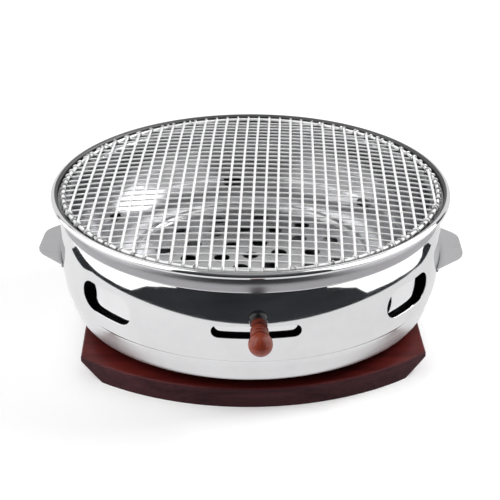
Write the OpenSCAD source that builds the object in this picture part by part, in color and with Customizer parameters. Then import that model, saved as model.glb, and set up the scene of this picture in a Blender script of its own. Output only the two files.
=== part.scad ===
// Round table-top charcoal grill (hibachi) standing on a wooden board.
// Millimetres, +Z up, front (the air-control knob) towards -Y.
// Origin: centre of the board's underside, where it stands on the table.

/* [Wooden board] */
// Thickness of the board
board_h = 16; // [12:1:22]
// Half length of the board, side to side
board_half_l = 134.3; // [130:0.1:140]
// Half depth of the board at its straight ends
board_half_end = 93.4; // [80:0.1:100]
// How far the curved front and back edges bulge past the ends
board_bulge = 51.2; // [45:0.1:58]
// Depth of the shallow recess that centres the grill
recess_d = 1; // [0.5:0.5:2]

/* [Outer body] */
// Largest radius of the bulging wall
wall_r_max = 154.5; // [153:0.5:155]
// Sheet thickness of the outer body
shell_t = 0.8; // [0.6:0.1:1]
// Outside radius of the rolled lip
lip_r = 160; // [159:0.5:161]
// Height of the middle of the rolled lip
lip_z = 117.2; // [117:0.1:118]
// Radius of the lip's roll
lip_roll_r = 2.7; // [2.5:0.1:3]

/* [Air openings] */
// Angle of the side vents, measured from the front
vent_az = 48.6; // [45:0.1:52]
// How far round the four vents sit from the slot, in degrees
vent_turn = 1.5; // [-3:0.1:3]
// Length of a vent
vent_l = 55; // [48:1:58]
// Height of a vent
vent_h = 24.6; // [20:0.1:26]
// Height of a vent's middle
vent_z = 68.5; // [66:0.5:71]
// Length of the slot the knob travels in
slot_l = 65.8; // [60:0.2:70]
// Height of that slot
slot_h = 10; // [9:0.5:11]
// Height of the slot's middle
slot_z = 69.5; // [68:0.5:71]

/* [Air damper] */
// Outside radius of the damper ring
ring_r = 149; // [148:0.1:149.5]
// How far the ring's windows trail the vents at rest, in degrees
window_lag = 16.6; // [14:0.1:19]
// Angle of the knob at rest, measured from the front
knob_az = 0.8; // [-2:0.1:2]
// Height of the knob's axis
knob_z = 71.5; // [70:0.5:72]
// Radius of the knob's ball end
knob_ball_r = 8.9; // [8:0.1:10]

/* [Handles] */
// How far the handles reach from the centre
handle_x = 172.8; // [170:0.2:178]
// Height of the handle sheet's underside
handle_z = 64.6; // [62:0.2:67]
// How far round from the right side the right handle sits, in degrees
right_turn = -2.4; // [-5:0.1:5]
// How far round from the left side the left handle sits, in degrees
left_turn = -3.9; // [-5:0.1:5]

/* [Fire bowl] */
// Sheet thickness of the fire bowl
bowl_t = 0.7; // [0.5:0.1:0.9]
// Height of the underside of the bowl's floor
bowl_floor_z = 27; // [24:1:32]
// Diameter of the holes in the charcoal grate
coal_hole_d = 13; // [8:0.5:14]

/* [Cooking grate] */
// Spacing of the grate's wires
mesh_pitch = 9.48; // [8.5:0.02:11]
// How much the mesh domes up in the middle
mesh_rise = 10; // [2:1:12]
// Angle the loose grate lies at
grate_turn = -3.2; // [-30:0.1:30]

/* [Hidden] */
$fn = 96;

steel = [0.80, 0.81, 0.83];
satin = [0.70, 0.70, 0.71];
wood = [0.36, 0.10, 0.08];
knob_wood = [0.58, 0.22, 0.14];

contact = 0.02;            // gap between faces that rest on each other
weld_gap = 0.03;           // gap left where a sheet is welded to the body
thread_gap = 0.03;         // radial clearance of the nut and the knob on their screw
cut_from = 130;            // radius at which the cutters through the wall start
cut_to = 160;              // radius at which they end

// wall of the outer body: a shallow barrel curve, radius at height z
wall_curve = 165;
wall_mid_z = 74;
function wall_r(z) = wall_r_max - wall_curve + sqrt(pow(wall_curve, 2) - pow(z - wall_mid_z, 2));
function wall_in(z) = wall_r(z) - shell_t - weld_gap - contact;

// directions of the four vents, measured from the front
vent_angles = [for (a = [vent_az, 180 - vent_az, 180 + vent_az, -vent_az]) a + vent_turn];

// point lists for turned sheet-metal profiles, each point [radius, height]
function bez(a, b, c, d, n) = [for (i = [0:n]) let (t = i / n, u = 1 - t)
    u*u*u*a + 3*u*u*t*b + 3*u*t*t*c + t*t*t*d];
function arc(cx, cz, r, a0, a1, n) = [for (i = [0:n]) let (a = a0 + (a1 - a0) * i / n)
    [cx + r * cos(a), cz + r * sin(a)]];
function dir(p, i) = let (a = p[max(0, i - 1)], b = p[min(len(p) - 1, i + 1)], d = b - a) d / norm(d);
function inset(p, t) = [for (i = [0:len(p) - 1]) let (d = dir(p, i)) p[i] + t * [-d[1], d[0]]];
function flip(p) = [for (i = [len(p) - 1:-1:0]) p[i]];

module turned_sheet(path, t) {
    rotate_extrude($fn = 180) polygon(concat(path, flip(inset(path, t))));
}

// puts something built along +Z at the origin onto a radial line at the front
module on_front(z) {
    translate([0, 0, z]) rotate([90, 0, 0]) children();
}

// racetrack-shaped cutter pointing to the front, from radius r0 to r1
module front_slot(l, h, z, r0 = cut_from, r1 = cut_to) {
    on_front(z) translate([0, 0, r0]) linear_extrude(r1 - r0) union() {
        square([l - h, h], center = true);
        for (s = [-1, 1]) translate([s * (l - h) / 2, 0]) circle(h / 2, $fn = 48);
    }
}

// ---- wooden board ----
board_edge = 1;                                   // small chamfer along the top edge
board_end_h = 4.6;                                // height of the straight end face
board_bevel_l = 17;                               // length of the finger bevel under each end
board_arc_r = (pow(board_half_l, 2) + pow(board_bulge, 2)) / (2 * board_bulge);
board_arc_y = board_arc_r - board_half_end - board_bulge;
recess_r = 131.2;

module board_disc() {
    rotate_extrude($fn = 240) polygon([[0, 0], [board_arc_r, 0], [board_arc_r, board_h - board_edge],
        [board_arc_r - board_edge, board_h], [0, board_h]]);
}

module board_ends() {
    rotate([90, 0, 0]) translate([0, 0, -board_arc_r]) linear_extrude(2 * board_arc_r) polygon([
        [-board_half_l + board_bevel_l, 0], [board_half_l - board_bevel_l, 0],
        [board_half_l, board_h - board_end_h], [board_half_l, board_h - board_edge],
        [board_half_l - board_edge, board_h], [-board_half_l + board_edge, board_h],
        [-board_half_l, board_h - board_edge], [-board_half_l, board_h - board_end_h]]);
}

module wood_board() {
    color(wood) difference() {
        intersection() {
            translate([0, board_arc_y, 0]) board_disc();
            translate([0, -board_arc_y, 0]) board_disc();
            board_ends();
        }
        translate([0, 0, board_h - recess_d]) cylinder(h = 2 * recess_d, r = recess_r, $fn = 180);
    }
}

// ---- outer body: one spun sheet from the floor to the rolled lip ----
foot_z = board_h - recess_d + contact;            // underside of the foot ring
foot_r = 128.5;                                   // outer radius of the foot ring
ledge_z = 114.25;                                 // underside of the ledge inside the lip
roll_in = lip_roll_r - shell_t;                   // inside radius of the rolled lip
roll_x = lip_r - lip_roll_r;                      // radius of the roll's centre circle
step_z = 44;                                      // height of the soft step above the foot
ledge_corner = 0.9;                               // radius of the corner between the ledge and the roll

body_path = concat(
    [[0, foot_z + 5], [119, foot_z + 5], [121, foot_z + 4.3], [122.4, foot_z + 2.2], [123.6, foot_z + 0.6],
     [125.2, foot_z]],
    bez([foot_r, foot_z], [133.5, 17.8], [138.5, 20.6], [142.4, 22.7], 3),
    bez([144.1, 23.65], [145.7, 24.6], [146.3, 26], [146.9, 28.2], 5),
    bez([147.4, 30.1], [148.3, 33.5], [150, 38.6], [151.25, step_z - 0.5], 6),
    [for (z = [step_z + 0.5:3.7:100.1]) [wall_r(z), z]],
    bez([wall_r(101), 101], [153.1, 104.2], [154.1, 106.4], [154.05, 109.4], 8),
    bez([153.9, 111.2], [153.6, 113], [153.6, ledge_z], [154.4, ledge_z], 6),
    arc(roll_x - roll_in - ledge_corner, ledge_z + ledge_corner, ledge_corner, -90, 0, 5),
    arc(roll_x, lip_z, roll_in, 180, -105, 16));

module outer_body() {
    color(steel) difference() {
        turned_sheet(body_path, shell_t);
        for (a = vent_angles) rotate([0, 0, a]) front_slot(vent_l, vent_h, vent_z);
        front_slot(slot_l, slot_h, slot_z);
    }
}

// ---- handles: a flat ear with a flange welded to the wall ----
handle_t = 1.2;
handle_corner = 20;
handle_half_flat = 11.5;                          // half length of the ear's straight outer edge
handle_slant = 46;                                // direction the slanted side faces, in degrees
handle_root = 146;                                // distance from the axis at which the ear's outline closes
flange_z = 60.5;                                   // bottom of the welded flange
flange_half = 14.5;                               // half the flange's angle around the body

module handle_outline() {
    cx = handle_x - handle_corner;
    tip = [cx, handle_half_flat] + handle_corner * [cos(handle_slant), sin(handle_slant)];
    root = [handle_root, tip[1] + (tip[0] - handle_root) / tan(handle_slant)];
    side = concat([root], flip(arc(cx, handle_half_flat, handle_corner, 0, handle_slant, 8)));
    polygon(concat(side, [for (p = flip(side)) [p[0], -p[1]]]));
}

module handle() {
    flange_levels = [flange_z, 63, handle_z + handle_t / 2];
    color(satin) union() {
        difference() {
            translate([0, 0, handle_z]) linear_extrude(handle_t) handle_outline();
            cylinder(h = 2 * handle_z, r = wall_r(handle_z) + weld_gap + handle_t / 2, $fn = 180);
        }
        rotate([0, 0, -flange_half]) rotate_extrude(angle = 2 * flange_half, $fn = 180) polygon(concat(
            [for (z = flange_levels) [wall_r(z) + weld_gap, z]],
            [for (z = flip(flange_levels)) [wall_r(z) + weld_gap + handle_t, z]]));
    }
}

module right_handle() {
    rotate([0, 0, right_turn]) handle();
}

module left_handle() {
    rotate([0, 0, left_turn + 180]) handle();
}

// ---- air damper: a windowed ring that turns inside the wall, and its guides ----
ring_t = 0.8;
ring_z0 = 51.72;                                  // bottom and top edge of the ring
ring_z1 = 86;
window_l = 54;
window_h = 27;
screw_r = 2;
screw_play = 0.2;                                 // radial play of the screw in the ring's hole
guide_az = 25.3;                                  // angle of the guides from front and back
guide_half = 6;                                   // half the angle one guide spans
guide_t = 0.8;
guide_play = 0.6;                                 // clearance beside the ring
guide_lip_z = 56;
guide_foot_z = 45.6;

// puts something built along +Z at the origin onto the knob's axis
module at_knob() {
    rotate([0, 0, knob_az]) on_front(knob_z) children();
}

module damper_guides() {
    shelf = ring_z0 - contact;
    in0 = ring_r - ring_t - guide_play - guide_t;
    out0 = ring_r + guide_play;
    color(satin) for (a = [guide_az, 180 - guide_az, 180 + guide_az, -guide_az])
        rotate([0, 0, a - 90 - guide_half]) rotate_extrude(angle = 2 * guide_half, $fn = 180) polygon([
            [wall_in(guide_foot_z), guide_foot_z], [wall_in(48.6), 48.6], [wall_in(shelf), shelf],
            [out0 + guide_t, shelf], [out0 + guide_t, guide_lip_z], [out0, guide_lip_z], [out0, shelf],
            [in0 + guide_t, shelf], [in0 + guide_t, guide_lip_z], [in0, guide_lip_z],
            [in0, shelf - guide_t], [wall_in(shelf - guide_t) - guide_t, shelf - guide_t],
            [wall_in(guide_foot_z) - guide_t, guide_foot_z]]);
}

module damper_ring() {
    color(satin) difference() {
        rotate_extrude($fn = 180) polygon([[ring_r - ring_t, ring_z0], [ring_r, ring_z0],
            [ring_r, ring_z1], [ring_r - ring_t, ring_z1]]);
        for (a = vent_angles) rotate([0, 0, a - window_lag]) front_slot(window_l, window_h, vent_z);
        at_knob() translate([0, 0, cut_from])
            cylinder(h = cut_to - cut_from, r = screw_r + screw_play, $fn = 48);
    }
}

screw_head = ring_r - ring_t - 0.1;               // distance of the head's seat from the axis
screw_end = 171;
knob_back = wall_r_max + 0.45;                    // distance of the knob's back face from the axis

module damper_screw() {
    color(satin) at_knob() rotate_extrude($fn = 48) polygon([[0, screw_head - 2.4],
        [2.6, screw_head - 2.4], [3.5, screw_head - 1.7], [3.8, screw_head - 0.8], [3.8, screw_head],
        [screw_r, screw_head], [screw_r, screw_end - 1], [screw_r - 1, screw_end], [0, screw_end]]);
}

module damper_nut() {
    nut_af = 7;                                   // size across the flats
    nut_h = 3.2;
    color(satin) at_knob() translate([0, 0, ring_r + contact]) difference() {
        cylinder(h = nut_h, r = nut_af / 2 / cos(30), $fn = 6);
        translate([0, 0, -nut_h]) cylinder(h = 3 * nut_h, r = screw_r + thread_gap, $fn = 48);
    }
}

module damper_knob() {
    ball_y = 19.4;                                // distance of the ball's centre from the knob's back
    bore_end = screw_end - knob_back + 0.5;
    bore_r = screw_r + thread_gap;
    color(knob_wood) at_knob() translate([0, 0, knob_back]) rotate_extrude($fn = 96) polygon(concat(
        [[bore_r, bore_end], [bore_r, 0], [5.6, 0]],
        arc(5.6, 1.2, 1.2, -90, 0, 4),
        arc(5.4, 5.4, 1.4, 0, 90, 5),
        [[5.1, 7.1], [5, 7.4], [5.1, 7.7]],
        arc(5.3, 9.6, 1.8, -75, 75, 8),
        [[5.1, 11.7]],
        arc(0, ball_y, knob_ball_r, -57, 90, 22),
        [[0, bore_end]]));
}

// ---- fire bowl: the liner that hangs from the ledge inside the lip ----
flange_under = ledge_z + shell_t + contact;       // underside of the bowl's flange
coal_ledge_z = 53.2;                              // underside of the step the charcoal grate sits on
bowl_slots = 6;                                   // air slots in the bowl's wall
bowl_slot = [16, 5.5, 68];                        // their length, height and middle height
bowl_slot_cut = [100, 140];                       // radii their cutters reach from and to
bowl_slot_turn = 6;
bowl_holes = 12;                                  // air holes under the charcoal grate
bowl_hole = [4, 40];                              // their radius and height
bowl_hole_cut = [70, 100];                        // radii their cutters reach from and to

bowl_path = concat(
    [[0, bowl_floor_z]],
    bez([58, bowl_floor_z], [76, bowl_floor_z], [88.5, 35], [92.4, 49.6], 9),
    [[93.2, 51.8], [94.6, 53]],
    [[96, coal_ledge_z]],
    bez([99, coal_ledge_z], [119, 56], [138.5, 76], [142.8, 104], 14),
    [[143.4, 107.6]],
    arc(147.6, flange_under - 4, 4, 165, 90, 5),
    [[154.3, flange_under]]);

module fire_bowl() {
    color(steel) difference() {
        turned_sheet(bowl_path, bowl_t);
        for (i = [0:bowl_slots - 1]) rotate([0, 0, i * 360 / bowl_slots + bowl_slot_turn])
            front_slot(bowl_slot[0], bowl_slot[1], bowl_slot[2], bowl_slot_cut[0], bowl_slot_cut[1]);
        for (i = [0:bowl_holes - 1]) rotate([0, 0, (i + 0.5) * 360 / bowl_holes])
            on_front(bowl_hole[1]) translate([0, 0, bowl_hole_cut[0]])
                cylinder(h = bowl_hole_cut[1] - bowl_hole_cut[0], r = bowl_hole[0], $fn = 48);
    }
}

module charcoal_grate() {
    seat_z = coal_ledge_z + bowl_t + contact;
    coal_t = 1.2;
    drill_h = 2 * seat_z;
    hole_rings = [[24, 6, 9], [51.5, 12, 5], [73, 12, 21]];       // [radius, holes, first angle]
    path = concat([[0, seat_z], [90, seat_z]],
        bez([94, seat_z], [96.4, seat_z + 0.1], [97.6, seat_z + 1.4], [98.2, seat_z + 4], 6));
    color(satin) difference() {
        turned_sheet(path, coal_t);
        cylinder(h = drill_h, r = coal_hole_d / 2, $fn = 48);
        for (h = hole_rings) for (i = [0:h[1] - 1]) rotate([0, 0, h[2] + i * 360 / h[1]])
            translate([h[0], 0, 0]) cylinder(h = drill_h, r = coal_hole_d / 2, $fn = 48);
    }
}

// ---- cooking grate: a rim wire and two layers of wires bent to a shallow dome ----
rim_r = 150.2;
rim_wire = 1.4;
long_wire = 1;
cross_wire = 0.75;
rim_z = flange_under + bowl_t + contact + rim_wire;
wire_gap = 0.07;                                  // gap between the two layers
cross_z = rim_z - 0.62;                           // height of the cross wires at the rim
long_z = cross_z + long_wire + cross_wire + wire_gap;
mesh_curve = pow(rim_r, 2) / (2 * mesh_rise);     // bending radius that every wire shares
mesh_off_long = 3.5;                              // the mesh isn't centred in its rim
mesh_off_cross = -3.6;

// one bent wire along Y, crossing the rim at distance c from its middle
module bent_wire(c, z, r) {
    half = asin(sqrt(pow(rim_r, 2) - pow(c, 2)) / mesh_curve);
    top = z + mesh_rise * (1 - pow(c / rim_r, 2));
    translate([c, 0, top - mesh_curve]) rotate([0, -90, 0]) rotate([0, 0, -half])
        rotate_extrude(angle = 2 * half, $fn = 180) translate([mesh_curve, 0]) circle(r, $fn = 24);
}

// positions of one layer's wires: every pitch that leaves a usable length inside the rim
function wire_rows(off) = [for (k = [-16:16]) let (c = k * mesh_pitch + off) if (abs(c) < rim_r - 4) c];

module grate_rim() {
    color(steel) rotate_extrude($fn = 180) translate([rim_r, rim_z]) circle(rim_wire, $fn = 32);
}

module grate_long_wires() {
    color(steel) rotate([0, 0, grate_turn]) for (c = wire_rows(mesh_off_long))
        bent_wire(c, long_z, long_wire);
}

module grate_cross_wires() {
    color(steel) rotate([0, 0, grate_turn + 90]) for (c = wire_rows(mesh_off_cross))
        bent_wire(c, cross_z, cross_wire);
}

wood_board();
outer_body();
left_handle();
right_handle();
damper_guides();
damper_ring();
damper_screw();
damper_nut();
damper_knob();
fire_bowl();
charcoal_grate();
grate_rim();
grate_long_wires();
grate_cross_wires();
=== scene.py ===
"""Looks of a round table-top charcoal grill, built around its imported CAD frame.

Shapes of revolution are re-turned from the CAD nodes' own outlines with true surface normals, so that
polished steel reflects cleanly. The other CAD nodes stay as they are and get materials. Lengths are in
metres, and azimuths are degrees round the z axis, from the front to the right.
"""
import math
from collections import namedtuple

import bmesh
import bpy
import numpy as np
from mathutils import Matrix, Vector


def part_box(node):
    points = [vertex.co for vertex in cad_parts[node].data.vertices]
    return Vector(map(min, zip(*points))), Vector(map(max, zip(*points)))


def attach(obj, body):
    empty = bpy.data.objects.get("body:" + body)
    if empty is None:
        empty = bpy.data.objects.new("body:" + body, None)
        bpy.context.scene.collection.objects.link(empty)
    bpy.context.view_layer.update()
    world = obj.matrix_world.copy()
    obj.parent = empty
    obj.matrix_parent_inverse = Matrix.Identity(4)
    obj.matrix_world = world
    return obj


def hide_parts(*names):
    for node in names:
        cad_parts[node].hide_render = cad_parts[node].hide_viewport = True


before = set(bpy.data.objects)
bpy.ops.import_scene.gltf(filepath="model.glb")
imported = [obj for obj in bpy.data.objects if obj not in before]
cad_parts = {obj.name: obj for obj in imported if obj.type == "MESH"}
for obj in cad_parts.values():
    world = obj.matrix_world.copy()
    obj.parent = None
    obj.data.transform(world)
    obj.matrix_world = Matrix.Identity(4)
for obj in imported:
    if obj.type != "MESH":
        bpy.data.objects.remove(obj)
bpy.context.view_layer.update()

MM = 0.001
WHITE = (1, 1, 1)


# ---------------------------------------------------------------- small tools
POLE_MERGE = 2e-6        # vertices closer than this become one, where a turned mesh meets its axis


def link(obj):
    bpy.context.scene.collection.objects.link(obj)
    return obj


def mesh_object(name, verts, faces, normals=None):
    """A new object; normals, one per vertex, become its shading normals."""
    mesh = bpy.data.meshes.new(name)
    mesh.from_pydata([tuple(v) for v in verts], [], [tuple(f) for f in faces])
    mesh.polygons.foreach_set("use_smooth", [True] * len(mesh.polygons))
    mesh.update()
    if normals is not None:
        mesh.normals_split_custom_set_from_vertices([tuple(n) for n in normals])
    return link(bpy.data.objects.new(name, mesh))


def merge_points(obj):
    """Closes the poles of a turned mesh."""
    bm = bmesh.new()
    bm.from_mesh(obj.data)
    bmesh.ops.remove_doubles(bm, verts=bm.verts, dist=POLE_MERGE)
    bm.to_mesh(obj.data)
    bm.free()


def ring_faces(rings, columns):
    """Faces between neighbouring rings of vertices, each ring with one vertex per column."""
    faces = []
    for k in range(rings - 1):
        a, b = k * columns, (k + 1) * columns
        for i in range(columns):
            m = (i + 1) % columns
            faces.append((a + i, a + m, b + m, b + i))
    return faces


def paint(obj, material):
    obj.data.materials.clear()
    obj.data.materials.append(material)


def paint_nodes(names, material):
    """Puts a material on the own slots of CAD nodes."""
    for name in names:
        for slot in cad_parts[name].material_slots:
            slot.material = material


def settle(obj, material, body, replaced=None):
    """Gives a new piece its material and its body, and hides the CAD node it stands for."""
    paint(obj, material)
    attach(obj, body)
    if replaced:
        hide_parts(replaced)


# ---------------------------------------------------------------- outlines read from the CAD nodes
MERGE = 8e-6             # outline points closer than this are the same point
SPREAD = 4               # degrees to each side of an azimuth within which an outline is read


def node_vertices(node):
    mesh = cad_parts[node].data
    co = np.zeros(len(mesh.vertices) * 3, np.float32)
    mesh.vertices.foreach_get("co", co)
    return co.reshape(-1, 3).astype(float)


def node_edges(node):
    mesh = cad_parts[node].data
    ends = np.zeros(len(mesh.edges) * 2, np.int32)
    mesh.edges.foreach_get("vertices", ends)
    return ends.reshape(-1, 2)


def merged(flat, near):
    """The different points among the near ones of flat, and for each vertex its point's number, or -1."""
    points = []
    ids = np.full(len(flat), -1)
    for i in np.nonzero(near)[0]:
        same = [k for k, point in enumerate(points) if np.abs(point - flat[i]).max() < MERGE]
        if same:
            ids[i] = same[0]
        else:
            ids[i] = len(points)
            points.append(flat[i])
    return points, ids


def walk(links):
    """The numbers in an open chain of links, in order from one end to the other."""
    chain = [next(k for k, linked in links.items() if len(linked) == 1)]
    while True:
        onward = [k for k in links[chain[-1]] if k not in chain]
        if not onward:
            return chain
        chain.append(onward[0])


def outline(node, azimuth):
    """Ordered (radius, height) points of a turned node's cross-section, read from its CAD mesh.

    Only vertices near azimuth are used, so that openings stay out of it."""
    co = node_vertices(node)
    angle = np.degrees(np.arctan2(co[:, 0], -co[:, 1]))
    near = np.abs((angle - azimuth + 180) % 360 - 180) <= SPREAD
    flat = np.stack([np.hypot(co[:, 0], co[:, 1]), co[:, 2]], axis=1)
    points, ids = merged(flat, near)
    links = {k: set() for k in range(len(points))}
    for a, b in ids[node_edges(node)]:
        if a >= 0 and b >= 0 and a != b:
            links[a].add(b)
            links[b].add(a)
    return np.array([points[k] for k in walk(links)])


def smooth_path(points, steps):
    """Catmull-Rom curve through points, with steps pieces between neighbours."""
    p = np.vstack([2 * points[0] - points[1], points, 2 * points[-1] - points[-2]])
    out = []
    for k in range(1, len(p) - 2):
        a, b, c, d = p[k - 1], p[k], p[k + 1], p[k + 2]
        for t in np.arange(steps) / steps:
            out.append(0.5 * (2 * b + (c - a) * t + (2 * a - 5 * b + 4 * c - d) * t ** 2
                              + (3 * b - a - 3 * c + d) * t ** 3))
    out.append(p[-2])
    return np.array(out)


def sheet_sides(node, azimuth, steps):
    """Smooth outlines of a turned sheet's under side and upper side, both from the centre outwards."""
    chain = outline(node, azimuth)
    half = len(chain) // 2
    one, other = chain[:half], chain[half:][::-1]
    if one[0][1] >= other[0][1]:
        one, other = other, one
    return smooth_path(one, steps), smooth_path(other, steps)


def path_normals(path):
    """Unit normals of a path of (radius, height), to the right of its direction."""
    d = np.gradient(path, axis=0)
    d /= np.linalg.norm(d, axis=1)[:, None]
    return np.stack([d[:, 1], -d[:, 0]], axis=1)


# ---------------------------------------------------------------- turned sheet metal with openings
COLUMNS = 288            # vertices round a turned sheet
STEP = 2 * math.pi / COLUMNS


class Opening:
    """A racetrack-shaped hole through a wall; a round one if its length is its width."""

    def __init__(self, azimuth, height, length, width):
        self.azimuth = math.radians(azimuth)
        self.height = height
        self.straight = (length - width) / 2
        self.end_r = width / 2


class SheetBuilder:
    """Builds one closed sheet from matching lists of (radius, height) for its under and its upper side."""

    RINGS = (0, 0.1, 0.28, 0.55)  # places of loops, from an opening's edge (0) to its patch's border (1)
    EDGE = 0.22 * MM              # rounding of the openings' edges
    MARGIN = 3.2 * MM             # least width of the patch around an opening

    def __init__(self, sides, wall_low, wall_high):
        """Openings may pierce the rows that rise between the heights wall_low and wall_high."""
        under, over = sides
        self.sides = sides
        self.normals = (path_normals(under), -path_normals(over))
        rows = [j for j in range(1, len(under)) if wall_low <= under[j, 1] <= wall_high
                and under[j, 1] > under[j - 1, 1]]
        self.wall = list(range(rows[0], rows[-1] + 1))
        self.verts, self.vert_normals, self.faces = [], [], []

    def add(self, point, normal):
        """Adds a vertex and returns its number."""
        self.verts.append(point)
        self.vert_normals.append(normal)
        return len(self.verts) - 1

    def spin(self, r, z, nr, nz, a):
        """Vertex at the angle a of a point r, z whose normal in the section is nr, nz."""
        s, c = math.sin(a), -math.cos(a)
        return self.add((r * s, r * c, z), (nr * s, nr * c, nz))

    def quad(self, side, a, b, c, d):
        """A face seen from outside the under side, or turned over for the upper side."""
        self.faces.append((a, b, c, d) if side == 0 else (d, c, b, a))

    def block(self, hole):
        """First and last column, first and last row of the patch that surrounds an opening."""
        under = self.sides[0]
        reach = math.asin((hole.straight + hole.end_r + self.MARGIN) / under[self.wall[0], 0])
        i0 = math.floor((hole.azimuth - reach) / STEP)
        i1 = math.ceil((hole.azimuth + reach) / STEP)
        low = hole.height - hole.end_r - self.MARGIN
        high = hole.height + hole.end_r + self.MARGIN
        j0 = max(j for j in self.wall if under[j, 1] <= low)
        j1 = min(j for j in self.wall if under[j, 1] >= high)
        return i0, i1, j0, j1

    def build(self, name, openings):
        """The finished mesh object."""
        blocks = [self.block(hole) for hole in openings]
        inside, hidden = set(), set()
        for i0, i1, j0, j1 in blocks:
            inside |= {(i % COLUMNS, j) for i in range(i0, i1) for j in range(j0, j1)}
            hidden |= {(i % COLUMNS, j) for i in range(i0 + 1, i1) for j in range(j0 + 1, j1)}
        grids = [self.turn_side(side, inside, hidden) for side in (0, 1)]
        for i in range(COLUMNS):
            k = (i + 1) % COLUMNS
            self.faces.append((grids[0][-1, i], grids[0][-1, k], grids[1][-1, k], grids[1][-1, i]))
        for hole, block in zip(openings, blocks):
            self.pierce(hole, block, grids)
        return mesh_object(name, self.verts, self.faces, self.vert_normals)

    def turn_side(self, side, inside, hidden):
        """Turns one side, but leaves out the faces inside the patches and the vertices hidden within them."""
        path, normals = self.sides[side], self.normals[side]
        grid = np.full((len(path), COLUMNS), -1)
        for j in range(len(path)):
            for i in range(COLUMNS):
                if (i, j) not in hidden:
                    grid[j, i] = self.spin(*path[j], *normals[j], i * STEP)
        for j in range(len(path) - 1):
            for i in range(COLUMNS):
                if (i, j) not in inside:
                    k = (i + 1) % COLUMNS
                    self.quad(side, grid[j, i], grid[j, k], grid[j + 1, k], grid[j + 1, i])
        if path[0, 0] > MM:
            self.close_middle(side, path[0, 1], grid[0])
        return grid

    def close_middle(self, side, height, ring):
        """A fan of triangles that closes the flat middle of a side."""
        hub = self.add((0, 0, height), (0, 0, -1 if side == 0 else 1))
        for i in range(COLUMNS):
            face = (hub, ring[(i + 1) % COLUMNS], ring[i])
            self.faces.append(face if side == 0 else face[::-1])

    def pierce(self, hole, block, grids):
        """Fills the patch round an opening on both sides, and lines the opening."""
        i0, i1, j0, j1 = block
        border = [(i, j0) for i in range(i0, i1)] + [(i1, j) for j in range(j0, j1)]
        border += [(i, j1) for i in range(i1, i0, -1)] + [(i0, j) for j in range(j1, j0, -1)]
        edges = [self.fill_patch(hole, side, border, grids[side]) for side in (0, 1)]
        self.line_opening(hole, border, edges)

    def from_hole(self, hole, side, i, j):
        """A border vertex's foot on the opening's middle line, and its direction and distance from there."""
        r, z = self.sides[side][j]
        x = r * math.sin(i * STEP - hole.azimuth)
        foot = min(max(x, -hole.straight), hole.straight)
        away = np.array([x - foot, z - hole.height])
        reach = np.linalg.norm(away)
        return foot, away / reach, reach

    def on_wall(self, hole, side, x, z):
        """Vertex on one side of the wall, x beside the opening's azimuth, at the height z."""
        path, normals = self.sides[side][self.wall], self.normals[side][self.wall]
        r = np.interp(z, path[:, 1], path[:, 0])
        nr = np.interp(z, path[:, 1], normals[:, 0])
        nz = np.interp(z, path[:, 1], normals[:, 1])
        return self.spin(r, z, nr, nz, hole.azimuth + math.asin(x / r))

    def fill_patch(self, hole, side, border, grid):
        """Fills a patch with loops that close in on the opening; returns the loop at the opening's edge."""
        loops = [[] for _ in self.RINGS]
        least = hole.end_r + self.EDGE
        for i, j in border:
            foot, away, reach = self.from_hole(hole, side, i, j)
            for loop, share in zip(loops, self.RINGS):
                d = least + (reach - least) * share
                loop.append(self.on_wall(hole, side, foot + away[0] * d, hole.height + away[1] * d))
        loops.append([grid[j, i % COLUMNS] for i, j in border])
        for near_hole, further in zip(loops, loops[1:]):
            for k in range(len(border)):
                m = (k + 1) % len(border)
                self.quad(side, further[k], further[m], near_hole[m], near_hole[k])
        return loops[0]

    def line_opening(self, hole, border, edges):
        """The cut face of the sheet, with a small rounding towards both sides."""
        under, over = (side[self.wall] for side in self.sides)
        thickness = np.linalg.norm(under[0] - over[0])
        s, c = math.sin(hole.azimuth), -math.cos(hole.azimuth)
        lining = []
        for depth in (self.EDGE, thickness - self.EDGE):
            loop = []
            for i, j in border:
                foot, away, _ = self.from_hole(hole, 0, i, j)
                x, z = np.array([foot, hole.height]) + away * hole.end_r
                r = np.interp(z, under[:, 1], under[:, 0]) - depth
                a = hole.azimuth + math.asin(x / r)
                normal = (away[0] * c, -away[0] * s, -away[1])
                loop.append(self.add((r * math.sin(a), -r * math.cos(a), z), normal))
            lining.append(loop)
        loops = [edges[0], *lining, edges[1]]
        for a, b in zip(loops, loops[1:]):
            for k in range(len(border)):
                m = (k + 1) % len(border)
                self.faces.append((a[k], a[m], b[m], b[k]))


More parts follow.
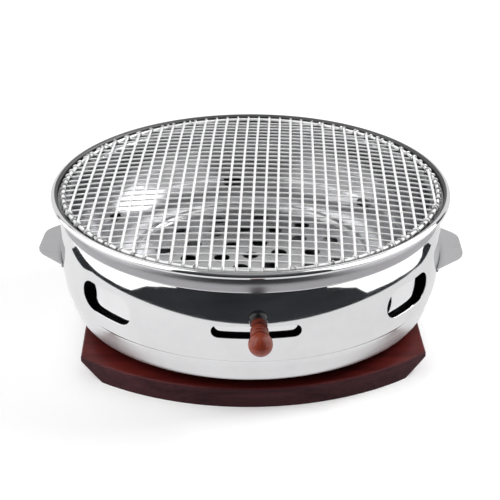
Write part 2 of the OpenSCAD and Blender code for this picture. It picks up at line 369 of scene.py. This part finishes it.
# ---------------------------------------------------------------- node trees
class Nodes:
    """Short-hand for building a node tree."""

    def __init__(self, tree):
        self.tree = tree

    def node(self, kind, **values):
        """A new node; values are its properties or, with _ for a space, its inputs."""
        made = self.tree.nodes.new("ShaderNode" + kind)
        for key, value in values.items():
            if hasattr(made, key):
                setattr(made, key, value)
            else:
                self.feed(value, made.inputs[key.replace("_", " ")])
        return made

    def join(self, source, target):
        self.tree.links.new(source, target)

    def feed(self, value, slot):
        """Joins an output to a slot, or sets the slot to a number or a colour."""
        if hasattr(value, "links"):
            self.join(value, slot)
        elif isinstance(value, tuple):
            slot.default_value = (*value, 1)
        else:
            slot.default_value = value

    def coords(self, stretch=(1, 1, 1)):
        """Object coordinates, scaled by stretch."""
        scale = self.node("Mapping", Vector=self.node("TexCoord").outputs["Object"])
        scale.inputs["Scale"].default_value = stretch
        return scale.outputs["Vector"]

    def part(self, kind, axis):
        """One axis of the Object, Normal or Generated coordinates."""
        split = self.node("SeparateXYZ")
        self.join(self.node("TexCoord").outputs[kind], split.inputs[0])
        return split.outputs[axis]

    def ray(self, kind):
        """1 for rays of a kind, such as Is Camera Ray."""
        return self.node("LightPath").outputs[kind]

    def compute(self, operation, *values):
        made = self.node("Math", operation=operation)
        for value, slot in zip(values, made.inputs):
            self.feed(value, slot)
        return made.outputs[0]

    def measure(self, operation, *vectors):
        """The LENGTH of a vector, or the DOT_PRODUCT of two."""
        made = self.node("VectorMath", operation=operation)
        for vector, slot in zip(vectors, made.inputs):
            self.join(vector, slot)
        return made.outputs["Value"]

    def rise(self, value, start, end, top=1):
        """0 while value is at start or short of it, top from end onwards, and even between them."""
        return self.node("MapRange", Value=value, From_Min=start, From_Max=end, To_Max=top).outputs["Result"]

    def ramp(self, value, stops):
        """Colour or grey ramp; stops are (position, colour)."""
        made = self.node("ValToRGB", Fac=value)
        elements = made.color_ramp.elements
        for position, _ in stops[1:-1]:
            elements.new(position)
        for element, (position, colour) in zip(elements, stops):
            element.position = position
            element.color = (*colour, 1) if isinstance(colour, tuple) else (colour, colour, colour, 1)
        return made.outputs["Color"]

    def between(self, value, low, high, start=0.3, end=0.7):
        """Goes from low to high, two greys or colours, while value goes from start to end."""
        return self.ramp(value, ((start, low), (end, high)))

    def mix(self, share, a, b, mode="MIX"):
        return self.node("MixRGB", blend_type=mode, Fac=share, Color1=a, Color2=b).outputs["Color"]

    def times(self, a, b):
        return self.mix(1, a, b, "MULTIPLY")

    def noise(self, coords, scale, detail, rough, distort=0):
        return self.node("TexNoise", Vector=coords, Scale=scale, Detail=detail, Roughness=rough,
                         Distortion=distort).outputs["Fac"]


class Shader(Nodes):
    """A new node material with a Principled BSDF."""

    LEAN = (0.01, 0.03)           # metres from the axis, times the normal, over which a side begins to show
    LEVEL, STEEP = 0.9, 0.6       # upward part of the normal on a level face and on an upright one
    AO_SAMPLES = 6

    def __init__(self, name):
        self.material = bpy.data.materials.new(name)
        self.material.use_nodes = True
        super().__init__(self.material.node_tree)
        self.bsdf = self.tree.nodes["Principled BSDF"]

    def put(self, **values):
        """Sets inputs of the BSDF, with _ for a space in their names."""
        for key, value in values.items():
            self.feed(value, self.bsdf.inputs[key.replace("_", " ")])

    def turned_coords(self, around, outwards, along):
        """Coordinates round the z axis: angle, radius and height, each scaled."""
        angle = self.compute("ARCTAN2", self.part("Object", "X"), self.part("Object", "Y"))
        radius = self.measure("LENGTH", self.coords((1, 1, 0)))
        scaled = ((angle, around), (radius, outwards), (self.part("Object", "Z"), along))
        joined = self.node("CombineXYZ")
        for (value, factor), slot in zip(scaled, joined.inputs):
            self.join(self.compute("MULTIPLY", value, factor), slot)
        return joined.outputs[0]

    def height_band(self, low, high, blend):
        """1 between the heights low and high, 0 outside."""
        height = self.part("Object", "Z")
        above = self.rise(height, low - blend, low + blend)
        below = self.rise(height, high + blend, high - blend)
        return self.compute("MULTIPLY", above, below)

    def facing(self, side):
        """1 where the surface looks away from the z axis (OUTWARDS) or towards it (INWARDS)."""
        normal = self.node("TexCoord").outputs["Normal"]
        lean = self.measure("DOT_PRODUCT", self.coords((side, side, 0)), normal)
        return self.rise(lean, *self.LEAN)

    def upright(self):
        """1 on upright faces, 0 on level ones."""
        return self.rise(self.compute("ABSOLUTE", self.part("Normal", "Z")), self.LEVEL, self.STEEP)

    def openness(self, reach):
        """1 where nothing is within reach of the surface, less in corners."""
        return self.node("AmbientOcclusion", samples=self.AO_SAMPLES, Distance=reach).outputs["AO"]

    def bump(self, height, strength, distance, under=None):
        """Surface relief of a height, on top of the relief under it."""
        made = self.node("Bump", Strength=strength, Distance=distance, Height=height)
        if under is not None:
            self.join(under, made.inputs["Normal"])
        return made.outputs["Normal"]


# ---------------------------------------------------------------- steel
INWARDS, OUTWARDS = -1, 1
SPUN = (6, 900, 900)              # fineness of spinning marks round the axis, outwards and along it
BRUSHED = (40, 900, 900)          # fineness of brushing marks along x, y and z
STAINED = 0.93                    # tone of the sheet's faint stains

# A stretch of height with a look of its own; its colour is multiplied by tint, which paints shade below 1 and
# a highlight above 1.
Band = namedtuple("Band", "low high blend tint rough")


def steel(name, colour, rough, wave_depth, waves, marks_depth, turned=True, crevice=8 * MM, bands=(),
          metallic=1, shaded_side=None, shade_tone=0.1):
    """Stainless steel, with rough between its two values, waves (per metre) in the sheet and fine marks.

    The marks run round the axis if it is turned. Corners narrower than crevice are darkened as painted shade.
    The side that looks towards shaded_side, INWARDS or OUTWARDS, is unpolished and is painted the grey
    shade_tone as painted shade."""
    s = Shader(name)
    stain = s.noise(s.coords(), scale=30, detail=5, rough=0.6)
    marks = s.noise(s.turned_coords(*SPUN) if turned else s.coords(BRUSHED), scale=1, detail=3, rough=0.6)
    tint = s.between(stain, tuple(c * STAINED for c in colour), colour)
    rubbed = s.between(s.mix(0.5, stain, marks), *rough, start=0.35, end=0.65)
    for band in bands:
        here = s.height_band(band.low, band.high, band.blend)
        tint = s.mix(here, tint, s.times(tint, band.tint))
        rubbed = s.mix(here, rubbed, (band.rough,) * 3)
    # painted shade: the side turned towards shaded_side is darkened to the grey shade_tone
    if shaded_side:
        shaded_part = s.facing(shaded_side)
        tint = s.mix(shaded_part, tint, (shade_tone,) * 3)
        rubbed = s.mix(shaded_part, rubbed, (0.5,) * 3)
    # painted shade: the colour is darker where a corner is narrower than crevice
    shade = s.between(s.openness(crevice), 0.05, 1, start=0.12, end=0.72)
    swell = s.noise(s.coords(), scale=waves, detail=1, rough=0.3)
    relief = s.bump(marks, 1, marks_depth, under=s.bump(swell, 1, wave_depth))
    s.put(Metallic=metallic, Base_Color=s.times(tint, shade), Roughness=rubbed, Normal=relief)
    return s.material


def polished_steel():
    """The body's mirror, only brushed on the neck under the lip and towards the foot; the neck and the inside
    are also darkened as painted shade.
    """
    # painted shade: the neck band's tint darkens the neck under the lip
    neck = Band(low=101.4 * MM, high=113.2 * MM, blend=0.6 * MM, tint=(0.51, 0.50, 0.52), rough=0.33)
    foot = Band(low=0, high=42 * MM, blend=5 * MM, tint=WHITE, rough=0.42)
    return steel("polished_steel", colour=(0.84, 0.84, 0.85), rough=(0.03, 0.07), wave_depth=0.07 * MM,
                 waves=20, marks_depth=0.0006 * MM, bands=(neck, foot), shaded_side=INWARDS)


def ring_steel():
    return steel("ring_steel", colour=(0.92, 0.92, 0.93), rough=(0.03, 0.07), wave_depth=0.02 * MM,
                 waves=25, marks_depth=0.0006 * MM, crevice=0.5 * MM)


def bowl_steel():
    """The bowl's inside, darkened as painted shade, with the step and the beads of its wall brightened in
    bands as painted highlights; its outer side is painted grey as painted shade.
    """
    # painted highlights: the step and the two beads of the wall are brightened by their bands
    step = Band(low=52 * MM, high=58 * MM, blend=1.2 * MM, tint=(2.5, 2.5, 2.5), rough=0.15)
    low_bead = Band(low=69.5 * MM, high=70.5 * MM, blend=0.6 * MM, tint=(2.3, 2.3, 2.3), rough=0.2)
    high_bead = Band(low=84.5 * MM, high=85.3 * MM, blend=0.6 * MM, tint=(2.0, 2.0, 2.0), rough=0.2)
    return steel("bowl_steel", colour=(0.33, 0.33, 0.34), rough=(0.14, 0.24), wave_depth=0.03 * MM,
                 waves=25, marks_depth=0.006 * MM, bands=(step, low_bead, high_bead), shaded_side=OUTWARDS,
                 shade_tone=0.3)


def satin_steel():
    return steel("satin_steel", colour=(0.51, 0.51, 0.52), rough=(0.26, 0.36), wave_depth=0.02 * MM,
                 waves=40, marks_depth=0.004 * MM, turned=False)


def plate_steel():
    return steel("plate_steel", colour=(0.72, 0.72, 0.73), rough=(0.16, 0.26), wave_depth=0.05 * MM,
                 waves=30, marks_depth=0.003 * MM)


def wire_steel():
    """The cooking grate's bright wires, less of a mirror than the sheets."""
    return steel("wire_steel", colour=(0.97, 0.97, 0.97), rough=(0.28, 0.38), wave_depth=0.01 * MM,
                 waves=60, marks_depth=0.004 * MM, turned=False, crevice=0.6 * MM, metallic=0.3)


# ---------------------------------------------------------------- wood
MIRROR_BACK = (0.002, 0.002, 0.003)    # the unlit back of a thing, as the polished wall shows it
MIRROR_BLEND = 0.5 * MM


def along_grain(s, axis, across, along):
    """Object coordinates drawn out along the grain's axis."""
    stretch = [across] * 3
    stretch[axis] = along
    return s.coords(tuple(stretch))


def dark_in_mirror(s, colour, reach):
    """A colour that turns dark in mirror images of what is further than reach from the z axis."""
    radius = s.measure("LENGTH", s.coords((1, 1, 0)))
    beyond = s.rise(radius, reach - MIRROR_BLEND, reach + MIRROR_BLEND)
    return s.mix(s.compute("MULTIPLY", beyond, s.ray("Is Glossy Ray")), colour, MIRROR_BACK)


def lacquered_wood(name, light, dark, axis, rough, shine, coat, upright_shade_and_sheen=WHITE, nook=None, unlit=None):
    """Stained wood under lacquer, with its grain along axis (0, 1 or 2).

    upright_shade_and_sheen makes its upright faces darker and more purple-grey, as painted shade and a
    painted sheen. nook is the reach of the painted shade that other parts throw on it. What is further from
    the z axis than unlit shows only its dark back in the mirror of the polished wall."""
    s = Shader(name)
    figure = s.noise(along_grain(s, axis, 55, 3.2), scale=1.6, detail=6, rough=0.62, distort=0.9)
    pores = s.noise(along_grain(s, axis, 900, 26), scale=1, detail=2, rough=0.5)
    blotch = s.noise(s.coords(), scale=14, detail=3, rough=0.5)
    colour = s.between(figure, dark, light, start=0.32, end=0.68)
    colour = s.times(colour, s.between(blotch, 0.8, 1))
    colour = s.mix(0.55, colour, s.times(colour, s.between(pores, 0.55, 1, start=0.34, end=0.45)))
    # painted shade and sheen: upright_shade_and_sheen makes the upright faces darker and purple-grey
    colour = s.mix(s.upright(), colour, s.times(colour, upright_shade_and_sheen))
    if nook:
        colour = s.times(colour, s.between(s.openness(nook), 0.45, 1, start=0.35, end=0.9))
    if unlit:
        colour = dark_in_mirror(s, colour, unlit)
    relief = s.bump(figure, 0.35, 0.05 * MM, under=s.bump(pores, 0.4, 0.02 * MM))
    s.put(Base_Color=colour, Roughness=s.between(figure, rough + 0.08, rough), Normal=relief)
    s.put(Specular_IOR_Level=shine, Coat_Weight=coat, Coat_Roughness=0.12)
    return s.material


def board_wood():
    return lacquered_wood("board_wood", light=(0.22, 0.026, 0.021), dark=(0.11, 0.013, 0.012), axis=0,
                          rough=0.3, shine=0.06, coat=0.03, upright_shade_and_sheen=(0.45, 1.25, 1.8), nook=70 * MM)


def knob_wood():
    return lacquered_wood("knob_wood", light=(0.31, 0.049, 0.020), dark=(0.17, 0.025, 0.012), axis=1,
                          rough=0.25, shine=0.14, coat=0.6, unlit=163 * MM)


# ---------------------------------------------------------------- body and bowl
VENT_AZIMUTH = 48.6               # of each vent, to both sides of the front and of the back
VENT_TURN = 1.5                   # by which all four vents are turned to the right


def make_body(material):
    """The outer body with its four air vents and the knob's slot."""
    azimuths = (VENT_AZIMUTH, 180 - VENT_AZIMUTH, 180 + VENT_AZIMUTH, -VENT_AZIMUTH)
    vents = [Opening(a + VENT_TURN, height=68.5 * MM, length=55 * MM, width=24.6 * MM) for a in azimuths]
    knob_slot = Opening(0, height=69.5 * MM, length=65.8 * MM, width=10 * MM)
    builder = SheetBuilder(sheet_sides("outer_body", 90, steps=3), wall_low=50 * MM, wall_high=90 * MM)
    shell = builder.build("body_shell", [*vents, knob_slot])
    settle(shell, material, "body", "outer_body")


def make_bowl(material):
    """The fire bowl with six air slots and, below them, twelve air holes."""
    slots = [Opening(a, height=68 * MM, length=16 * MM, width=5.5 * MM) for a in range(6, 360, 60)]
    holes = [Opening(a, height=40 * MM, length=8 * MM, width=8 * MM) for a in range(15, 360, 30)]
    builder = SheetBuilder(sheet_sides("fire_bowl", 30, steps=2), wall_low=28 * MM, wall_high=100 * MM)
    shell = builder.build("bowl_shell", slots + holes)
    settle(shell, material, "bowl", "fire_bowl")


# ---------------------------------------------------------------- ends of the grate's wires
WIRE_RADII = {"grate_long_wires": 0.85 * MM, "grate_cross_wires": 0.7 * MM}
TUBE_SIDES = 10
TIP_BULGE = 0.6                   # how far a wire's end bulges, in wire radii
TIP_REACH = 2.5 * MM              # the length of a wire that counts as its tip
HOOK_FROM, HOOK_TO = 195, 0       # degrees around the rim wire, from its inner side over its top
HOOK_POINTS = 13
HOOK_GAP = 0.03 * MM              # between a hook and the rim wire


def loose_parts(node):
    """Vertex coordinates of every separate piece of a CAD node."""
    co, ends = node_vertices(node), node_edges(node)
    label = np.arange(len(co))
    while True:
        low = np.minimum(label[ends[:, 0]], label[ends[:, 1]])
        before = label.copy()
        np.minimum.at(label, ends[:, 0], low)
        np.minimum.at(label, ends[:, 1], low)
        label = label[label]
        if (label == before).all():
            return [co[label == k] for k in np.unique(label)]


def tube(path, radius):
    """Vertices, normals and faces of a round wire along a path of points, closed at both ends."""
    along = np.gradient(path, axis=0)
    along /= np.linalg.norm(along, axis=1)[:, None]
    across = np.cross(along[0], along[len(path) // 2])
    across /= np.linalg.norm(across)
    verts, norms = [], []
    for point, ahead in zip(path, along):
        up = np.cross(ahead, across)
        for i in range(TUBE_SIDES):
            a = 2 * math.pi * i / TUBE_SIDES
            normal = math.cos(a) * across + math.sin(a) * up
            verts.append(point + normal * radius)
            norms.append(normal)
    faces = ring_faces(len(path), TUBE_SIDES)
    for k, sign in ((0, -1), (len(path) - 1, 1)):
        hub, ring = len(verts), k * TUBE_SIDES
        verts.append(path[k] + along[k] * sign * radius * TIP_BULGE)
        norms.append(along[k] * sign)
        for i in range(TUBE_SIDES):
            m = (i + 1) % TUBE_SIDES
            faces.append((hub, ring + m, ring + i) if sign < 0 else (hub, ring + i, ring + m))
    return verts, norms, faces


def wire_tips(wire):
    """The middles of a wire's two tips."""
    one = wire[np.linalg.norm(wire - wire.mean(axis=0), axis=1).argmax()]
    other = wire[np.linalg.norm(wire - one, axis=1).argmax()]
    return [wire[np.linalg.norm(wire - tip, axis=1) < TIP_REACH].mean(axis=0) for tip in (one, other)]


def hook_path(tip, wire_r, rim_low, rim_high):
    """Middle line of the hook that bends a wire over the rim wire."""
    rim_wire_r = (rim_high.z - rim_low.z) / 2
    rim_r, rim_z = rim_high.x - rim_wire_r, (rim_high.z + rim_low.z) / 2
    turn = rim_wire_r + wire_r + HOOK_GAP
    out = np.array([tip[0], tip[1], 0])
    out /= np.linalg.norm(out)
    angles = np.radians(np.linspace(HOOK_FROM, HOOK_TO, HOOK_POINTS))
    up = np.array([0, 0, 1])
    return np.array([out * (rim_r + turn * math.cos(a)) + up * (rim_z + turn * math.sin(a)) for a in angles])


def make_wire_ends(material):
    """Short hooks with which every wire of the grate is bent over the rim wire."""
    rim_low, rim_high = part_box("grate_rim")
    verts, norms, faces = [], [], []
    for node, wire_r in WIRE_RADII.items():
        tips = [tip for wire in loose_parts(node) for tip in wire_tips(wire)]
        for tip in tips:
            base = len(verts)
            v, n, f = tube(hook_path(tip, wire_r, rim_low, rim_high), wire_r)
            verts += v
            norms += n
            faces += [tuple(base + i for i in face) for face in f]
    settle(mesh_object("wire_ends", verts, faces, norms), material, "cooking_grate")


# ---------------------------------------------------------------- knob
KNOB_COLUMNS = 72
BALL_R, BALL_AT = 8.9, 19.4       # millimetres: the ball's radius, and its centre from the knob's back


def arc(cx, cz, r, start, end, steps):
    angles = np.radians(np.linspace(start, end, steps + 1))
    return [(cx + r * math.cos(a), cz + r * math.sin(a)) for a in angles]


def knob_profile():
    """Radius and distance from the knob's back, in millimetres, from the back face to the tip of the ball."""
    back = [(0, 0.02), (2.5, 0), (5.2, 0)]
    collar = arc(5.6, 1.2, 1.2, -90, 0, 6) + arc(5.4, 5.4, 1.4, 0, 90, 8)
    groove = [(5.12, 7.0), (4.95, 7.4), (5.12, 7.8)]
    bead = arc(5.3, 9.6, 1.8, -75, 75, 14)
    neck = [(5.15, 11.66)]
    ball = arc(0, BALL_AT, BALL_R, -55, 90, 40)
    return back + collar + groove + bead + neck + ball


def make_knob(material):
    """The knob, turned round the axis of its screw."""
    low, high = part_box("damper_knob")
    screw_low, screw_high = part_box("damper_screw")
    azimuth = math.atan2(screw_low.x + screw_high.x, -screw_low.y - screw_high.y)
    back = -low.y - (BALL_AT + BALL_R) * MM * math.cos(azimuth)
    turn = Matrix.Rotation(azimuth, 3, "Z")
    centre = Vector((0, 0, (low.z + high.z) / 2))
    profile = np.array(knob_profile()) * MM
    normals = path_normals(profile)
    normals[0], normals[-1] = (0, -1), (0, 1)
    verts, norms = [], []
    for (r, out), (normal_r, normal_out) in zip(profile, normals):
        for i in range(KNOB_COLUMNS):
            a = 2 * math.pi * i / KNOB_COLUMNS
            c, s = math.cos(a), math.sin(a)
            verts.append(turn @ Vector((r * c, -back - out, r * s)) + centre)
            norms.append(turn @ Vector((normal_r * c, -normal_out, normal_r * s)))
    knob = mesh_object("turned_knob", verts, ring_faces(len(profile), KNOB_COLUMNS), norms)
    merge_points(knob)
    settle(knob, material, "damper", "damper_knob")


# ---------------------------------------------------------------- floor and cards
FAR = 6                           # half the side of the floor and of the dark room
FLOOR_GLOW = 0.13
FLOOR_FAR_GLOW = 0.7              # added for the camera, where the floor is far away
FLOOR_NEAR, FLOOR_AWAY = 0.5, 1.8  # distances from the middle between which that glow grows
TABLE_GLOW = 0.53
TABLE_TONES = (0.84, 0.62)        # of the white table at its left and its right edge
TABLE_LEFT, TABLE_RIGHT = 0.345, 0.333
TABLE_FRONT, TABLE_BACK = 0.302, 1.3
TABLE_WIDE = 1.6                  # half width of the table behind the grill
TABLE_ROUND = 2.3                 # 2 would make the table's front an ellipse; more makes it squarer
TABLE_STEPS = 48                  # pieces of the rounded front
TABLE_WAIST = 0.322               # half width of the straight part behind the rounded front
WAIST_LEFT, WAIST_RIGHT = 0.01, 0.02  # where that straight part begins, on each side
TABLE_SHOULDER = 0.10             # behind this the white spreads to both sides
ROOM_DEPTH = -2 * MM              # the dark room's floor, just under the table
SCREEN_TOP = 1.2
LEFT_SCREEN = ((-0.385, 0.13), (-0.39, 0.05), (-0.365, -0.11), (-0.334, -0.195), (-0.41, -0.305),
               (-0.435, -0.54))
RIGHT_SCREEN = ((0.41, 0.075), (0.36, 0.035), (0.345, 0.0), (0.35, -0.09), (0.33, -0.175), (0.307, -0.22),
                (0.375, -0.31), (0.405, -0.54))
HIGH_CARD_INNER, HIGH_CARD_OUTER = 0.2, 1.3
HIGH_CARD_LOW, HIGH_CARD_TOP = 1.25, 2.1


def plane(name, corners, material):
    obj = mesh_object(name, corners, [range(len(corners))])
    paint(obj, material)
    return obj


def square(name, height, material):
    """A level square that reaches far to all sides."""
    corners = [(-FAR, -FAR, height), (FAR, -FAR, height), (FAR, FAR, height), (-FAR, FAR, height)]
    return plane(name, corners, material)


def screen(name, a, b, low, top, material):
    """An upright rectangle over the ground line from a to b, seen in the polished steel only."""
    only_reflected(plane(name, [(*a, low), (*b, low), (*b, top), (*a, top)], material))


def only_reflected(obj):
    """Seen by polished steel, but not by the camera or the soft light."""
    obj.visible_camera = False
    obj.visible_diffuse = False
    obj.visible_shadow = False


def glow(name, colour, strength, uneven=0):
    """A self-lit surface; uneven mottles it."""
    s = Shader(name)
    if uneven:
        cloud = s.noise(s.coords(), scale=2.2, detail=4, rough=0.55)
        colour = s.times(s.between(cloud, 1 - uneven, 1), colour)
    light = s.node("Emission", Strength=strength, Color=colour)
    s.join(light.outputs[0], s.tree.nodes["Material Output"].inputs["Surface"])
    s.tree.nodes.remove(s.bsdf)
    return s.material


def make_floor():
    """A pale floor; for the camera it glows more with distance, so that it runs into the white background."""
    s = Shader("pale_floor")
    tone = s.noise(s.coords(), scale=3, detail=3, rough=0.5)
    away = s.rise(s.measure("LENGTH", s.coords()), FLOOR_NEAR, FLOOR_AWAY, top=FLOOR_FAR_GLOW)
    light = s.compute("MULTIPLY_ADD", away, s.ray("Is Camera Ray"), FLOOR_GLOW)
    s.put(Base_Color=s.between(tone, 0.9, 0.92), Roughness=0.6, Emission_Color=WHITE,
          Emission_Strength=light)
    square("floor", 0, s.material).visible_glossy = False


def table_outline():
    """A wide white table behind the grill, with a rounded tongue that comes forward under it."""
    points = [(-TABLE_WIDE, TABLE_BACK, 0), (-TABLE_WIDE, TABLE_SHOULDER, 0),
              (-TABLE_WAIST, TABLE_SHOULDER, 0), (-TABLE_WAIST, WAIST_LEFT, 0)]
    for k in range(1, TABLE_STEPS):
        a = math.pi * k / TABLE_STEPS
        c, s = math.cos(a), math.sin(a)
        half = TABLE_LEFT if c > 0 else TABLE_RIGHT
        x = -half * math.copysign(abs(c) ** (2 / TABLE_ROUND), c)
        points.append((x, -TABLE_FRONT * s ** (2 / TABLE_ROUND), 0))
    return points + [(TABLE_WAIST, WAIST_RIGHT, 0), (TABLE_WAIST, TABLE_SHOULDER, 0),
                     (TABLE_WIDE, TABLE_SHOULDER, 0), (TABLE_WIDE, TABLE_BACK, 0)]


def make_table():
    """The white table top that the polished steel reflects, darker towards the right."""
    s = Shader("table_white")
    across = s.rise(s.part("Object", "X"), -TABLE_LEFT, TABLE_RIGHT)
    s.put(Base_Color=s.between(across, *TABLE_TONES, start=0, end=1), Roughness=0.7, Emission_Color=WHITE,
          Emission_Strength=TABLE_GLOW)
    only_reflected(plane("table_top", table_outline(), s.material))


def make_cards():
    """The dark room round the table and the white screens that the polished steel reflects."""
    only_reflected(square("dark_room", ROOM_DEPTH, glow("room_dark", (0.85, 0.9, 1.0), 0.05, uneven=0.5)))
    white = glow("screen_white", WHITE, 1.5)
    for name, foot in (("screen_left", LEFT_SCREEN), ("screen_right", RIGHT_SCREEN)):
        for k, (a, b) in enumerate(zip(foot, foot[1:])):
            screen(f"{name}_{k}", a, b, 0, SCREEN_TOP, white)
    left, right = (-TABLE_WIDE, TABLE_BACK), (TABLE_WIDE, TABLE_BACK)
    screen("screen_back", left, right, 0, SCREEN_TOP, glow("screen_behind", WHITE, 0.8))
    for name, side in (("high_card_left", -1), ("high_card_right", 1)):
        inner, outer = (side * HIGH_CARD_INNER, TABLE_BACK), (side * HIGH_CARD_OUTER, TABLE_BACK)
        screen(name, inner, outer, HIGH_CARD_LOW, HIGH_CARD_TOP, white)


# ---------------------------------------------------------------- light and camera
SOFT_LIGHT = 0.3
ROOM_TONES = ((0, (0.045, 0.048, 0.052)), (0.55, 0.06), (0.85, 0.26), (1, 0.42))  # from the horizon upwards
LIGHT_AIM = Vector((0, 0, 0.06))
CAMERA_DISTANCE = 1.1157
CAMERA_PITCH = math.radians(26.33)
CAMERA_YAW = math.radians(-1.57)
CAMERA_AIM = Vector((-0.0004, 0, 0.0598))
CAMERA_LENS, CAMERA_SENSOR = 97.3, 36  # millimetres


def area_light(name, place, size, power):
    data = bpy.data.lights.new(name, "AREA")
    data.shape = "RECTANGLE"
    data.size = size
    data.size_y = size
    data.energy = power
    lamp = link(bpy.data.objects.new(name, data))
    lamp.location = place
    lamp.rotation_mode = "QUATERNION"
    lamp.rotation_quaternion = (LIGHT_AIM - Vector(place)).to_track_quat("-Z", "Y")
    lamp.visible_camera = False


def make_lights():
    """A large key light from the left and a smaller fill from the right."""
    area_light("key", place=(-1.2, -0.2, 1.0), size=1.4, power=21)
    area_light("fill", place=(1.2, 0.35, 1.0), size=0.8, power=21)


def make_world():
    """Even soft light for everything matt; polished parts see a dark room, the camera a white background."""
    world = bpy.data.worlds.new("studio")
    bpy.context.scene.world = world
    world.use_nodes = True
    w = Nodes(world.node_tree)
    even = w.tree.nodes["Background"]
    w.feed(SOFT_LIGHT, even.inputs["Strength"])
    w.feed(WHITE, even.inputs["Color"])
    light = even
    seen_by = (("Is Glossy Ray", w.ramp(w.part("Generated", "Z"), ROOM_TONES)), ("Is Camera Ray", WHITE))
    for kind, colour in seen_by:
        choose = w.node("MixShader", Fac=w.ray(kind))
        w.join(light.outputs[0], choose.inputs[1])
        w.join(w.node("Background", Color=colour).outputs[0], choose.inputs[2])
        light = choose
    w.join(light.outputs[0], w.tree.nodes["World Output"].inputs["Surface"])


def make_camera():
    data = bpy.data.cameras.new("camera")
    data.lens = CAMERA_LENS
    data.sensor_width = CAMERA_SENSOR
    camera = link(bpy.data.objects.new("camera", data))
    turn = Matrix.Rotation(CAMERA_YAW, 3, "Z")
    ahead = turn @ Vector((0, math.cos(CAMERA_PITCH), -math.sin(CAMERA_PITCH)))
    camera.location = turn @ CAMERA_AIM - ahead * CAMERA_DISTANCE
    camera.rotation_mode = "QUATERNION"
    camera.rotation_quaternion = ahead.to_track_quat("-Z", "Y")
    bpy.context.scene.camera = camera


# ---------------------------------------------------------------- everything together
def make_grill():
    """All pieces: the re-turned ones, and the CAD nodes with their materials."""
    wires = wire_steel()
    make_body(polished_steel())
    make_bowl(bowl_steel())
    make_knob(knob_wood())
    make_wire_ends(wires)
    paint_nodes(["wood_board"], board_wood())
    paint_nodes(["left_handle", "right_handle", "damper_guides", "damper_screw", "damper_nut"], satin_steel())
    paint_nodes(["damper_ring"], ring_steel())
    paint_nodes(["charcoal_grate"], plate_steel())
    paint_nodes(["grate_rim", "grate_long_wires", "grate_cross_wires"], wires)


def make_studio():
    """Everything around the grill: what lights it, what it mirrors, and the camera."""
    make_floor()
    make_table()
    make_cards()
    make_world()
    make_lights()
    make_camera()
    bpy.context.scene.view_settings.view_transform = "Standard"


make_grill()
make_studio()
